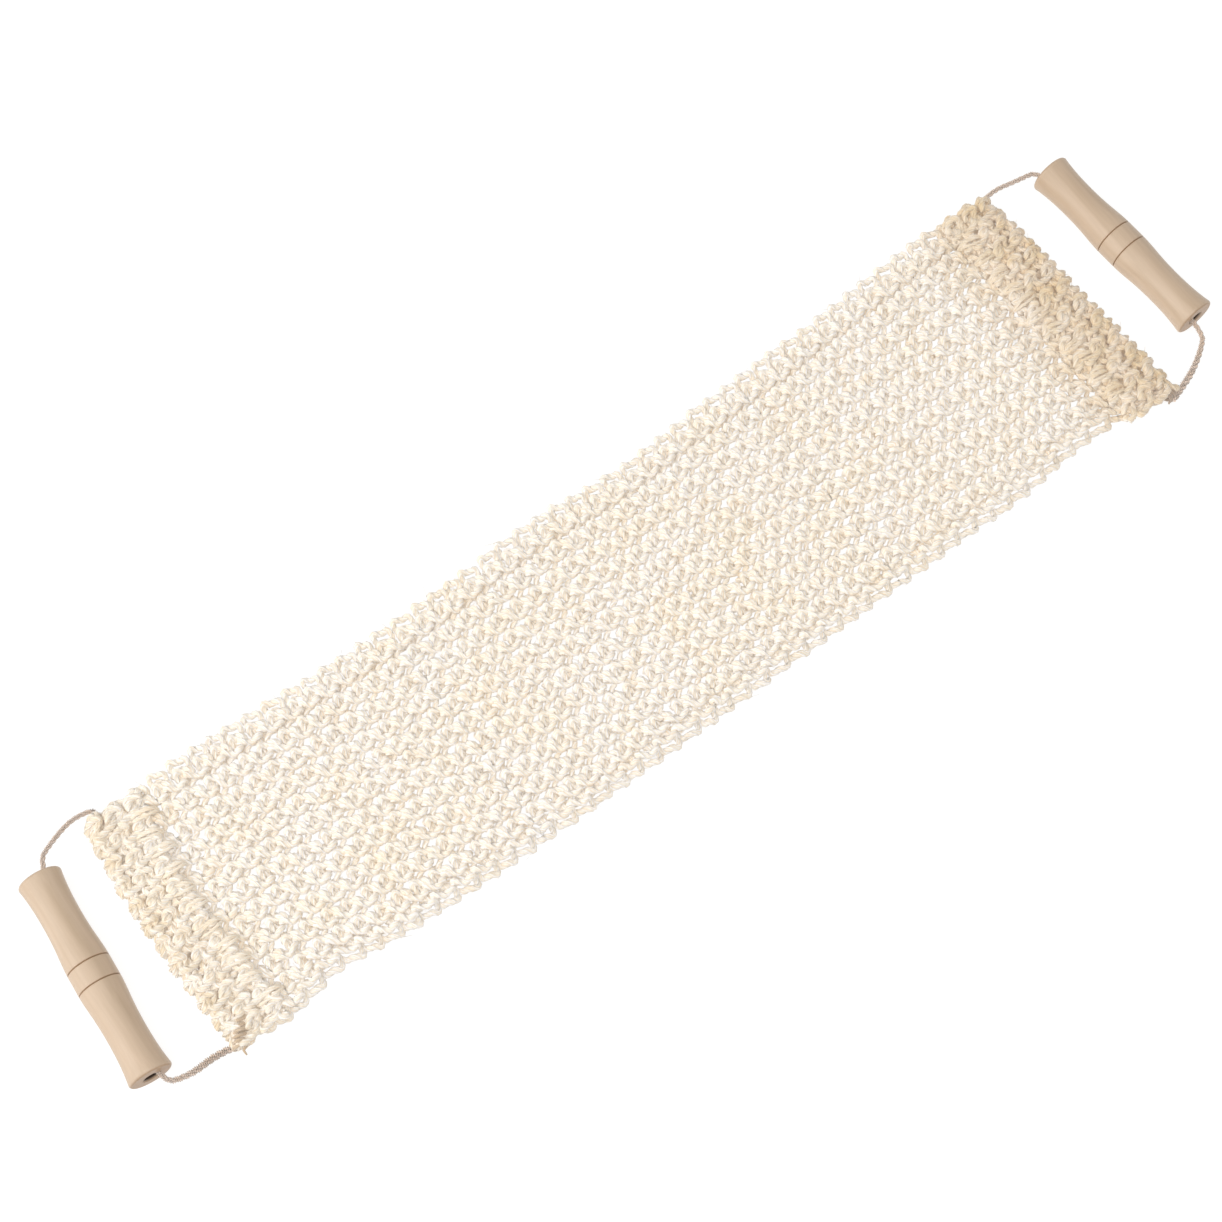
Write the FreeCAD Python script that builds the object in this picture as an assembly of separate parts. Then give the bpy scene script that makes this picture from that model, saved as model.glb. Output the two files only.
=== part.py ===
import FreeCAD, Part

import math
import os

# Back scrubber: a long knitted strap lying flat, with a folded hem at each end. A cord runs
# through each hem and through a turned wooden handle, and its two ends are bound together.
# Millimetres. X runs along the strap, Y across it, Z up, and the object rests on Z = 0.

Vector = FreeCAD.Vector
UP = Vector(0, 0, 1)

# Knitted strap: (distance along it, lower edge, upper edge).
STRAP_EDGES = (
    (-296.5, -74.0, 61.5),
    (-177.0, -75.0, 60.5),
    (-59.0, -76.0, 62.0),
    (59.0, -74.5, 64.0),
    (177.0, -72.0, 70.5),
    (292.5, -73.5, 77.4),
)
STRAP_THICKNESS = 6.0
BEND_LINES = (-177.0, -59.0, 59.0, 177.0)
BEND_CLEARANCE = 2.1  # from each bend line to the stretches beside it
STRETCH_NAMES = (
    "strap_left_outer",
    "strap_left_inner",
    "strap_centre",
    "strap_right_inner",
    "strap_right_outer",
)

# Folded hem: a thick tunnel round the cord, then a flatter double layer.
TUNNEL_WIDTH = 20.0
TUNNEL_HEIGHT = 10.0
TUNNEL_ROUNDING = 4.8
LAYER_WIDTH = 14.0
LAYER_HEIGHT = 8.0
CHANNEL_RADIUS = 2.75
CHANNEL_HEIGHT = 5.0

# Yarn that closes the hem: a row of slanted stitches over the inner edge of the fold.
STITCH_COUNT = 11
STITCH_SPACING = 11.8
STITCH_RADIUS = 1.1
STITCH_REACH = 4.0  # to each side of the hem's inner edge
STITCH_SLANT = 1.6
STITCH_TOP = 8.3  # height of its middle line over the double layer
STITCH_FOOT = 6.3  # and over the single layer

# Turned handle, from its middle to one end: (distance along it, radius).
HANDLE_LENGTH = 115.0
HANDLE_OUTLINE = (
    (6.35, 11.2),
    (13.0, 10.85),
    (21.0, 10.2),
    (30.0, 9.85),
    (39.0, 9.9),
    (48.0, 10.4),
    (55.9, 11.4),
)
HANDLE_END_RADIUS = HANDLE_OUTLINE[-1][1]
HANDLE_END_ROUNDING = HANDLE_LENGTH / 2 - HANDLE_OUTLINE[-1][0]
GROOVE_PLACE = 5.9
GROOVE_HALF_WIDTH = HANDLE_OUTLINE[0][0] - GROOVE_PLACE
GROOVE_DEPTH = 0.7
BAND_RADIUS = HANDLE_OUTLINE[0][1]
BORE_RADIUS = 3.75
BORE_CHAMFER = 1.0
HANDLE_REACH = 330.0
HANDLE_HEIGHT = HANDLE_END_RADIUS

# The handles and the cord channels lean towards the middle at their upper ends.
LOOP_LEAN = 3.4
CORD_RADIUS = 1.6
ARC_SHARE = 0.45  # of the shorter run beside a corner, taken by its arc

# What differs between the two ends. Reaches are distances from the middle of the strap.
ENDS = {
    "left": {
        "side": -1,
        "fold_reach": 296.5,
        "fold_lean": 0.0,
        "tunnel_ends": (-66.0, 60.5),
        "channel_reach": 285.0,
        "middle": -6.4,
        "binding": {"radius": 4.6, "low": -78.6, "high": -66.9},
        "cord_route": (
            (-288.7, -70.0, 5.0),
            (-280.9, 64.8, 5.0),
            (-296.0, 68.8, 7.6),
            (-310.0, 64.4, 10.0),
            (-326.4, 56.3, 11.4),
            (-333.8, -68.6, 11.4),
            (-318.0, -73.6, 9.3),
            (-303.0, -71.8, 7.3),
            (-292.4, -74.0, 5.8),
        ),
    },
    "right": {
        "side": 1,
        "fold_reach": 292.5,
        "fold_lean": LOOP_LEAN,
        "tunnel_ends": (-70.0, 70.5),
        "channel_reach": 287.0,
        "middle": 8.6,
        "binding": {"radius": 3.9, "low": -80.4, "high": -71.0},
        "cord_route": (
            (291.8, -72.5, 5.0),
            (283.1, 73.8, 5.0),
            (296.0, 76.6, 7.2),
            (309.0, 72.9, 9.6),
            (326.4, 69.6, 11.4),
            (333.9, -56.0, 11.4),
            (322.5, -65.8, 9.6),
            (308.5, -73.2, 7.6),
            (295.2, -77.0, 5.8),
        ),
    },
}


def slope(degrees):
    return math.tan(math.radians(degrees))


def edge_heights(x):
    """The strap's lower and upper edge at x, straight between the places in STRAP_EDGES."""
    for before, after in zip(STRAP_EDGES, STRAP_EDGES[1:]):
        if x <= after[0]:
            break
    share = (x - before[0]) / (after[0] - before[0])
    low = before[1] + share * (after[1] - before[1])
    high = before[2] + share * (after[2] - before[2])
    return low, high


def leaning_x(side, reach, lean, y):
    """X on a line across the strap that leans towards the middle as y grows."""
    return side * (reach - y * slope(lean))


def hem_line(end, depth, y):
    """X of the line that lies depth inside the fold's outer edge."""
    return leaning_x(end["side"], end["fold_reach"] - depth, end["fold_lean"], y)


def corner(end, depth, upper):
    """Where the hem line at this depth meets the strap's upper or lower edge."""
    y = 0.0
    for _ in range(4):
        y = edge_heights(hem_line(end, depth, y))[1 if upper else 0]
    return hem_line(end, depth, y), y


def prism(outline, bottom, top):
    """A flat-topped solid over a closed outline of (x, y) points."""
    points = [Vector(x, y, bottom) for x, y in outline]
    face = Part.Face(Part.makePolygon(points + points[:1]))
    return face.extrude(UP * (top - bottom))


def across(lean, side):
    """The unit direction along a leaning line, towards +Y."""
    angle = math.radians(lean)
    return Vector(-side * math.sin(angle), math.cos(angle), 0)


def strap_stretches():
    """The five stretches of the strap between the bend lines, each a flat block."""
    left_hem = TUNNEL_WIDTH + LAYER_WIDTH
    starts = [[corner(ENDS["left"], left_hem, False), corner(ENDS["left"], left_hem, True)]]
    stops = []
    for line in BEND_LINES:
        for place, found in ((line - BEND_CLEARANCE, stops), (line + BEND_CLEARANCE, starts)):
            low, high = edge_heights(place)
            found.append([(place, low), (place, high)])
    stops.append([corner(ENDS["right"], left_hem, False), corner(ENDS["right"], left_hem, True)])
    stretches = {}
    for name, start, stop in zip(STRETCH_NAMES, starts, stops):
        outline = [start[0], stop[0], stop[1], start[1]]
        stretches[name] = prism(outline, 0, STRAP_THICKNESS)
    return stretches


def tunnel(end):
    """The outer part of a hem: a bar whose outer side is rounded over like a fold."""
    side = end["side"]
    low, high = end["tunnel_ends"]
    direction = across(end["fold_lean"], side)
    inward = Vector(-side, 0, 0)
    foot = Vector(hem_line(end, 0, low), low, 0)
    reach = TUNNEL_ROUNDING
    bend = reach * (1 - math.sqrt(0.5))
    flat = UP * (TUNNEL_HEIGHT - 2 * reach)
    top = foot + UP * TUNNEL_HEIGHT
    lower_arc = Part.Arc(
        foot + inward * reach,
        foot + inward * bend + UP * bend,
        foot + UP * reach,
    )
    upper_arc = Part.Arc(
        foot + UP * reach + flat,
        top + inward * bend - UP * bend,
        top + inward * reach,
    )
    inner_top = top + inward * TUNNEL_WIDTH
    inner_foot = foot + inward * TUNNEL_WIDTH
    edges = [
        lower_arc.toShape(),
        Part.makeLine(foot + UP * reach, foot + UP * reach + flat),
        upper_arc.toShape(),
        Part.makeLine(top + inward * reach, inner_top),
        Part.makeLine(inner_top, inner_foot),
        Part.makeLine(inner_foot, foot + inward * reach),
    ]
    length = (high - low) / direction.y
    return Part.Face(Part.Wire(edges)).extrude(direction * length)


def hem(end):
    """One folded hem: the tunnel and the flatter layer, with the channel through it."""
    side = end["side"]
    inner = TUNNEL_WIDTH + LAYER_WIDTH
    layer = prism(
        [
            corner(end, TUNNEL_WIDTH, False),
            corner(end, inner, False),
            corner(end, inner, True),
            corner(end, TUNNEL_WIDTH, True),
        ],
        0,
        LAYER_HEIGHT,
    )
    solid = tunnel(end).fuse(layer).removeSplitter()
    direction = across(LOOP_LEAN, side)
    middle = Vector(side * end["channel_reach"], end["middle"], CHANNEL_HEIGHT)
    length = 2 * HANDLE_LENGTH
    channel = Part.makeCylinder(CHANNEL_RADIUS, length, middle - direction * (length / 2), direction)
    return solid.cut(channel)


def hem_stitches(end):
    """The slanted stitches that hold the fold down, as separate round bars."""
    inner = TUNNEL_WIDTH + LAYER_WIDTH
    low = corner(end, inner, False)[1]
    high = corner(end, inner, True)[1]
    first = (low + high - (STITCH_COUNT - 1) * STITCH_SPACING) / 2
    bars = []
    for number in range(STITCH_COUNT):
        y = first + number * STITCH_SPACING
        on_layer = Vector(hem_line(end, inner - STITCH_REACH, y), y - STITCH_SLANT, STITCH_TOP)
        on_strap = Vector(hem_line(end, inner + STITCH_REACH, y), y + STITCH_SLANT, STITCH_FOOT)
        run = on_strap - on_layer
        bars.append(Part.makeCylinder(STITCH_RADIUS, run.Length, on_layer, run))
    return Part.makeCompound(bars)


def half_outline(sign):
    """The handle's outline from one groove to the end, as edges in the XY plane."""
    points = [Vector(radius, sign * place, 0) for place, radius in HANDLE_OUTLINE]
    curve = Part.BSplineCurve()
    curve.interpolate(points)
    end = sign * HANDLE_LENGTH / 2
    shoulder = points[-1]
    rim = Vector(HANDLE_END_RADIUS - HANDLE_END_ROUNDING, end, 0)
    inset = HANDLE_END_ROUNDING * (1 - math.sqrt(0.5))
    bulge = Vector(HANDLE_END_RADIUS - inset, end - sign * inset, 0)
    chamfer_rim = Vector(BORE_RADIUS + BORE_CHAMFER, end, 0)
    chamfer_foot = Vector(BORE_RADIUS, end - sign * BORE_CHAMFER, 0)
    groove_foot = Vector(BAND_RADIUS - GROOVE_DEPTH, sign * GROOVE_PLACE, 0)
    band_edge = Vector(BAND_RADIUS, sign * (GROOVE_PLACE - GROOVE_HALF_WIDTH), 0)
    return [
        Part.makeLine(band_edge, groove_foot),
        Part.makeLine(groove_foot, points[0]),
        curve.toShape(),
        Part.Arc(shoulder, bulge, rim).toShape(),
        Part.makeLine(rim, chamfer_rim),
        Part.makeLine(chamfer_rim, chamfer_foot),
    ]


def handle(end):
    """A turned handle with a through bore and two fine grooves round its middle."""
    band = GROOVE_PLACE - GROOVE_HALF_WIDTH
    foot = HANDLE_LENGTH / 2 - BORE_CHAMFER
    edges = half_outline(1) + half_outline(-1)
    edges.append(Part.makeLine(Vector(BAND_RADIUS, -band, 0), Vector(BAND_RADIUS, band, 0)))
    edges.append(Part.makeLine(Vector(BORE_RADIUS, -foot, 0), Vector(BORE_RADIUS, foot, 0)))
    face = Part.Face(Part.Wire(Part.__sortEdges__(edges)))
    solid = face.revolve(Vector(0, 0, 0), Vector(0, 1, 0), 360)
    side = end["side"]
    solid.rotate(Vector(0, 0, 0), UP, side * LOOP_LEAN)
    solid.translate(Vector(side * HANDLE_REACH, end["middle"], HANDLE_HEIGHT))
    return solid


def cord_path(name, points):
    """Straight runs joined by tangent arcs, each as large as the runs beside it allow."""
    edges = []
    radii = []
    start = points[0]
    for before, here, after in zip(points, points[1:], points[2:]):
        back = before - here
        ahead = after - here
        cut = ARC_SHARE * min(back.Length, ahead.Length)
        half_turn = (math.pi - back.getAngle(ahead)) / 2
        radius = cut / math.tan(half_turn)
        back.normalize()
        ahead.normalize()
        inward = (back + ahead).normalize()
        middle = here + inward * (radius / math.cos(half_turn) - radius)
        arc_start = here + back * cut
        arc_end = here + ahead * cut
        edges.append(Part.makeLine(start, arc_start))
        edges.append(Part.Arc(arc_start, middle, arc_end).toShape())
        radii.append(round(radius, 1))
        start = arc_end
    edges.append(Part.makeLine(start, points[-1]))
    print(name, "bend radii", radii)
    return Part.Wire(edges)


def cord(name, end):
    """The cord's tube along its route, from the binding, through hem and handle, and back."""
    points = [Vector(*place) for place in end["cord_route"]]
    path = cord_path(name, points)
    circle = Part.makeCircle(CORD_RADIUS, points[0], points[1] - points[0])
    tube = path.makePipeShell([Part.Wire([circle])], True, False)
    expected = math.pi * CORD_RADIUS**2 * path.Length
    print(name, "length", round(path.Length, 1), "volume share", round(tube.Volume / expected, 4))
    return tube


def binding(end):
    """The yarn wound round the two ends of the cord, as one plain barrel."""
    side = end["side"]
    sizes = end["binding"]
    direction = across(LOOP_LEAN, side)
    low, high = sizes["low"], sizes["high"]
    x = leaning_x(side, end["channel_reach"], LOOP_LEAN, low - end["middle"])
    foot = Vector(x, low, CHANNEL_HEIGHT)
    barrel = Part.makeCylinder(sizes["radius"], (high - low) / direction.y, foot, direction)
    rims = [edge for edge in barrel.Edges if isinstance(edge.Curve, Part.Circle)]
    return barrel.makeFillet(CORD_RADIUS, rims)


def build():
    """Every piece of the object by its name."""
    pieces = strap_stretches()
    for name, end in ENDS.items():
        pieces["hem_" + name] = hem(end)
        pieces["hem_stitches_" + name] = hem_stitches(end)
        pieces["handle_" + name] = handle(end)
        pieces["cord_" + name] = cord("cord_" + name, end)
        pieces["cord_binding_" + name] = binding(end)
    return pieces


os.makedirs("parts", exist_ok=True)
for node, shape in build().items():
    box = shape.BoundBox
    print(
        node,
        "valid" if shape.isValid() else "NOT VALID",
        "x", round(box.XMin, 2), round(box.XMax, 2),
        "y", round(box.YMin, 2), round(box.YMax, 2),
        "z", round(box.ZMin, 2), round(box.ZMax, 2),
    )
    shape.exportStep("parts/" + node + ".step")
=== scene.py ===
import math

import bpy
import numpy as np
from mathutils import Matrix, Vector


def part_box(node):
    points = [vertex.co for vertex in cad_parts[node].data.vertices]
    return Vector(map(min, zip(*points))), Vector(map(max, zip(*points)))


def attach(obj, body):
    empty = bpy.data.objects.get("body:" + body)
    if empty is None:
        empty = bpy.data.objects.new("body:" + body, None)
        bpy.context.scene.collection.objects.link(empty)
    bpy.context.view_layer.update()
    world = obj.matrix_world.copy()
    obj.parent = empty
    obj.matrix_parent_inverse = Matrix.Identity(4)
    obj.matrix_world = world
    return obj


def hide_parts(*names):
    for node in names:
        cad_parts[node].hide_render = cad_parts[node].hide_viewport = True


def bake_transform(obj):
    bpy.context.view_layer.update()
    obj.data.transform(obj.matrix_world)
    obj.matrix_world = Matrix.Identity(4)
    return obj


# Back scrubber: an open garter-stitch strap of coarse plant-fibre yarn with a folded hem at
# each end, and a turned wooden handle on a twisted cord loop at each end. Metres, Z up, with
# the strap along X.

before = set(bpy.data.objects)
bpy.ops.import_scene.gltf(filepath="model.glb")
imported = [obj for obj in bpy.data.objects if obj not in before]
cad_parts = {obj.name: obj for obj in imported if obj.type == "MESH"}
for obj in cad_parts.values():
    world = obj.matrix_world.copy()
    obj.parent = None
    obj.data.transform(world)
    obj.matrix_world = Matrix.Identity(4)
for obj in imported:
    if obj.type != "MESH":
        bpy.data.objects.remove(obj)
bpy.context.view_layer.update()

SEED = 7
TAU = 2 * math.pi
SIDES = (-1, 1)
SIDE_NAMES = {-1: "left", 1: "right"}


def mm(*values):
    """Millimetres to metres, one number or several."""
    scaled = tuple(v / 1000 for v in values)
    return scaled[0] if len(scaled) == 1 else scaled


def in_metres(rows):
    """Points in millimetres as points in metres."""
    return [mm(*row) for row in rows]


# ---------------------------------------------------------------- camera, floor and light

CAMERA_AZIMUTH = -35.889
CAMERA_ELEVATION = 70.0
CAMERA_DISTANCE = 1.2244
CAMERA_ANGLE = 28.868
CAMERA_TARGET = Vector((-0.0150, 0.0027, 0.0))
CAMERA_CLIP = (0.01, 100)

FLOOR_SIZE = 60.0
FLOOR_COLOUR = (0.25, 0.25, 0.25)
FLOOR_GLOW = 0.84
WORLD_COLOUR = (1.0, 0.975, 0.94)
WORLD_STRENGTH = 0.48
LIGHT_COLOUR = (1.0, 0.985, 0.96)
KEY_POWER = 34.5
KEY_SIZE = 2.0
KEY_DIRECTION = Vector((-0.80, 0.30, 0.62))
KEY_DISTANCE = 2.6
FILL_POWER = 18.6
FILL_SIZE = 1.6
FILL_DISTANCE = 2.2


def direction_from(azimuth, elevation):
    """Unit vector from the target to a viewer at that azimuth and elevation, in degrees."""
    a, e = math.radians(azimuth), math.radians(elevation)
    return Vector((math.sin(a) * math.cos(e), -math.cos(a) * math.cos(e), math.sin(e)))


def add_camera():
    data = bpy.data.cameras.new("camera")
    camera = bpy.data.objects.new("camera", data)
    bpy.context.collection.objects.link(camera)
    back = direction_from(CAMERA_AZIMUTH, CAMERA_ELEVATION)
    camera.location = CAMERA_TARGET + back * CAMERA_DISTANCE
    camera.rotation_euler = (-back).to_track_quat("-Z", "Y").to_euler()
    data.angle = math.radians(CAMERA_ANGLE)
    data.clip_start, data.clip_end = CAMERA_CLIP
    bpy.context.scene.camera = camera


def add_floor():
    half = FLOOR_SIZE / 2
    mesh = bpy.data.meshes.new("floor")
    corners = [(-half, -half, 0), (half, -half, 0), (half, half, 0), (-half, half, 0)]
    mesh.from_pydata(corners, [], [(0, 1, 2, 3)])
    floor = bpy.data.objects.new("floor", mesh)
    bpy.context.collection.objects.link(floor)
    material, _, shader = new_material("floor_paper")
    shader.inputs["Base Color"].default_value = (*FLOOR_COLOUR, 1)
    shader.inputs["Roughness"].default_value = 1.0
    shader.inputs["Specular IOR Level"].default_value = 0.0
    shader.inputs["Emission Color"].default_value = (1, 1, 1, 1)
    shader.inputs["Emission Strength"].default_value = FLOOR_GLOW
    mesh.materials.append(material)


def add_soft_light(name, towards, distance, size, power):
    """A square soft light that looks at the middle of the object from that direction."""
    data = bpy.data.lights.new(name, "AREA")
    data.energy = power
    data.color = LIGHT_COLOUR
    data.size = size
    light = bpy.data.objects.new(name, data)
    bpy.context.collection.objects.link(light)
    towards = towards.normalized()
    light.location = towards * distance
    light.rotation_euler = (-towards).to_track_quat("-Z", "Y").to_euler()


def add_lights():
    world = bpy.data.worlds.new("studio")
    world.use_nodes = True
    background = world.node_tree.nodes["Background"]
    background.inputs["Color"].default_value = (*WORLD_COLOUR, 1)
    background.inputs["Strength"].default_value = WORLD_STRENGTH
    bpy.context.scene.world = world
    add_soft_light("key", KEY_DIRECTION, KEY_DISTANCE, KEY_SIZE, KEY_POWER)
    above = direction_from(CAMERA_AZIMUTH, CAMERA_ELEVATION)
    add_soft_light("fill", above, FILL_DISTANCE, FILL_SIZE, FILL_POWER)
    bpy.context.scene.view_settings.view_transform = "Standard"


# ---------------------------------------------------------------- meshes of yarn and cord

YARN_RADIUS = mm(1.84)
YARN_PITCH = mm(13.0)  # its three plies wind round each other once in this length
PLY_DEPTH = 0.32  # how deep the grooves between the plies are, as a share of the radius
FRAME_HINT = (0.13, 0.21, 0.97)  # a direction in which no line starts


def resampled(points, step):
    """The line again, with points about step apart."""
    lengths = np.linalg.norm(np.diff(points, axis=0), axis=1)
    along = np.concatenate([[0], np.cumsum(lengths)])
    at = np.linspace(0, along[-1], max(3, math.ceil(along[-1] / step) + 1))
    return np.stack([np.interp(at, along, points[:, k]) for k in range(3)], axis=1)


def unit(vectors):
    return vectors / np.linalg.norm(vectors, axis=-1, keepdims=True)


def carried_frames(lines):
    """Two directions across each line, square to each other, that turn as little as they can
    along it. lines is (line, point, 3)."""
    tangents = unit(np.gradient(lines, axis=1))
    across = np.empty_like(lines)
    across[:, 0] = unit(np.cross(tangents[:, 0], FRAME_HINT))
    for i in range(1, lines.shape[1]):
        carried = across[:, i - 1]
        t = tangents[:, i]
        across[:, i] = unit(carried - t * (carried * t).sum(-1, keepdims=True))
    return across, np.cross(tangents, across)


class Tubes:
    """Collects twisted, lobed tubes along lines and makes one mesh of them, each closed."""

    def __init__(self, sides=12, plies=3, ply_depth=PLY_DEPTH):
        self.sides = sides
        self.angle = TAU * np.arange(sides) / sides
        self.section = 1 - ply_depth * (1 - np.abs(np.cos(self.angle * plies / 2)))
        self.points, self.faces, self.caps, self.uvs = [], [], [], []
        self.count = 0

    def rings(self, lines, radius, pitch):
        """Ring points of every line, (line, point, side, 3), and the length along each."""
        a, b = carried_frames(lines)
        steps = np.linalg.norm(np.diff(lines, axis=1), axis=-1)
        along = np.concatenate([np.zeros((len(lines), 1)), np.cumsum(steps, axis=1)], axis=1)
        turn = along[..., None] * TAU / pitch + self.angle
        reach = np.asarray(radius)[..., None] * self.section
        rings = lines[:, :, None] + (reach * np.cos(turn))[..., None] * a[:, :, None]
        rings = rings + (reach * np.sin(turn))[..., None] * b[:, :, None]
        return rings, along

    def add_rings(self, rings, along):
        """One closed tube for each line of rings."""
        lines, n, sides, _ = rings.shape
        i = np.arange(n - 1)[:, None] * sides
        j = np.arange(sides)[None]
        k = (j + 1) % sides
        quads = np.stack([i + j, i + k, i + sides + k, i + sides + j], -1).reshape(-1, 4)
        u = np.stack([along[:, :-1], along[:, :-1], along[:, 1:], along[:, 1:]], -1)
        v = np.stack([j, j + 1, j + 1, j], -1)[0] / sides
        for line in range(lines):
            start = self.count + line * n * sides
            self.faces.append(quads + start)
            self.caps.append(start + np.arange(sides)[::-1])
            self.caps.append(start + (n - 1) * sides + np.arange(sides))
            face_u = np.repeat(u[line][:, None], sides, axis=1)
            face_v = np.broadcast_to(v[None], (n - 1, sides, 4))
            self.uvs.append(np.stack([face_u, face_v], -1).reshape(-1, 2))
        self.points.append(rings.reshape(-1, 3))
        self.count += lines * n * sides

    def add(self, line, radius, pitch):
        """One tube along a line of points; radius is one number or one for each point."""
        line = np.asarray(line, float)[None]
        radius = np.broadcast_to(radius, line.shape[:2])
        self.add_rings(*self.rings(line, radius, pitch))

    def mesh(self, name):
        """All the tubes as one mesh, whose UVs are the length along a tube in metres and the
        share of a turn round it."""
        quads = np.concatenate(self.faces)
        caps = np.stack(self.caps)
        points = np.concatenate(self.points)
        mesh = bpy.data.meshes.new(name)
        mesh.vertices.add(len(points))
        mesh.vertices.foreach_set("co", points.astype(np.float32).ravel())
        loops = np.concatenate([quads.ravel(), caps.ravel()])
        sizes = np.concatenate([np.full(len(quads), 4), np.full(len(caps), self.sides)])
        mesh.loops.add(len(loops))
        mesh.loops.foreach_set("vertex_index", loops.astype(np.int32))
        mesh.polygons.add(len(sizes))
        starts = np.concatenate([[0], np.cumsum(sizes)[:-1]])
        mesh.polygons.foreach_set("loop_start", starts.astype(np.int32))
        mesh.update(calc_edges=True)
        mesh.polygons.foreach_set("use_smooth", np.ones(len(sizes), bool))
        uvs = np.concatenate(self.uvs + [np.zeros((caps.size, 2))])
        layer = mesh.uv_layers.new(name="yarn")
        layer.data.foreach_set("uv", uvs.astype(np.float32).ravel())
        mesh.validate()
        return mesh


def add_piece(name, tubes, material):
    """The tubes as one object of that name."""
    mesh = tubes.mesh(name)
    mesh.materials.append(material)
    piece = bpy.data.objects.new(name, mesh)
    bpy.context.collection.objects.link(piece)
    return piece


def ripple(rng, wavelengths, count=10):
    """A smooth random surface of plane waves, about -1 to 1, over distances in metres."""
    lengths = rng.uniform(*wavelengths, count)
    headings = rng.uniform(0, TAU, count)
    phases = rng.uniform(0, TAU, count)

    def height(x, y):
        total = 0
        for length, heading, phase in zip(lengths, headings, phases):
            reach = x * math.cos(heading) + y * math.sin(heading)
            total = total + np.sin(reach * TAU / length + phase)
        return total / math.sqrt(count)

    return height


def ease(value, start, end):
    """0 before start and 1 after end, with a smooth step between."""
    t = np.clip((value - start) / (end - start), 0, 1)
    return t * t * (3 - 2 * t)


# ---------------------------------------------------------------- knitted strap

STITCH = mm(11.35)  # pitch along the strap
COURSES = 22  # besides the two that finish the edges
COURSE_PITCH = mm(5.9)  # nominal, before the strap widens
LOOP_HEIGHT = mm(12.4)
EDGE_HEIGHT = mm(8.5)  # height of the loops that finish the edges
KNIT_HEIGHT = (COURSES - 1) * COURSE_PITCH + LOOP_HEIGHT
LOOP_NECK = mm(0.6)  # how far the two legs of a loop draw together
LOOP_BULGE = mm(3.0)  # how far a loop's head and foot swell sideways
LOOP_DEPTH = mm(2.7)  # how far a course tilts out of the plane, each way
LOOP_WEAVE = mm(0.85)  # extra rise and dip where two yarns cross
LOOP_SLANT = mm(-1.3)  # how far a loop's head and foot slope across the strap
LOOP_LEAN = 0.9  # how far the front of the knit is dragged across, per depth
RINGS_PER_STITCH = 34
FINE_SAMPLES = 2001  # of one stitch, from which its rings are chosen

# The strap's lower and upper edge, as distances along and across it.
LOWER_EDGE = in_metres([
    (-310, -76.5), (-292, -75.5), (-268, -76.5), (-236, -70.5), (-203, -74), (-157, -76),
    (-61, -76.5), (38, -74.7), (140, -72.7), (193, -72), (252, -67.5), (295, -74), (310, -75),
])
UPPER_EDGE = in_metres([
    (-310, 63), (-278, 63.6), (-202, 62.2), (-145, 60), (-80, 61), (-10, 64), (16, 62),
    (100, 66.4), (180, 70.7), (236, 75.3), (286, 76.5), (310, 77),
])
EDGE_MARGIN = mm(2.2)  # from the edge to the middle of the outermost yarn

LAYER_HEIGHT = mm(4.9)  # the middle of the single layer over the floor
HEM_LAYER_HEIGHT = mm(3.5)
REST_HEIGHT = 1.22 * YARN_RADIUS  # the lowest that the middle of a yarn lies
HEM_FLATNESS = 0.62  # depth of a loop in the hem, as a share of its depth in the strap
HEM_EASE = mm(45, 15)  # how far before the fold the strap starts and ends to flatten
FOLD_RADIUS = mm(3.4)
FOLD_REACH = {-1: mm(293.0), 1: mm(290.3)}
LEFT_FOLD_BOW = mm(3.4)  # how far the left fold falls back at BOW_REACH from the middle
BOW_REACH = mm(65)
RIGHT_FOLD_SLANT = math.radians(3.6)
HEM_RETURN = mm(36.0)  # length of the layer that lies back on the strap
HEM_DROP = mm(3.2)  # how far that layer comes down to its sewn edge

# How uneven the knit is, along the strap, across it and out of it, and in what wavelengths.
DRIFT = mm(1.6, 1.0)
DRIFT_WAVES = mm(45, 130)
JITTER = mm(0.4, 0.3, 0.2)
JITTER_WAVES = mm(12, 26)
COURSE_JITTER = mm(0.2, 0.15)  # of each course by itself
COURSE_WAVES = mm(9, 40)
BULGE_JITTER = 0.12
MESS_EASE = mm(10, -20)  # how far before the fold the jitter starts to grow, and has doubled
DRIFT_HOLD = 6  # how soon the drift across sets in, away from the edges
YARN_UNEVENNESS = 0.07  # of the hand-spun yarn's thickness
YARN_WAVES = mm(20, 70)
POINT_SPACING = mm(1.2)  # about the distance between two points of a course
COURSE_SPACING = 0.7  # of the courses in the thickness ripple, so that no two are alike
LEG_TAPER = 0.13  # how much thinner the yarn is in a loop's legs, and fuller at its ends

# The strap is cut into sections at whole stitches near these places, from left to right.
STRETCH = 0.118  # from one bend of the strap to the next
HEM_CUT = 0.257
CUTS = (-HEM_CUT, -STRETCH, 0.0, STRETCH, HEM_CUT)
# The nodes that each section stands for, and the width of its cloth.
SECTIONS = {
    "hem_left": (("hem_left",), 0.139),
    "left_outer": (("strap_left_outer",), 0.137),
    "left_inner": (("strap_left_inner", "strap_centre"), 0.138),
    "right_inner": (("strap_right_inner", "strap_centre"), 0.139),
    "right_outer": (("strap_right_outer",), 0.144),
    "hem_right": (("hem_right",), 0.149),
}
SHARES = ("first", "second", "third")  # of the courses in a section, one piece each
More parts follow.
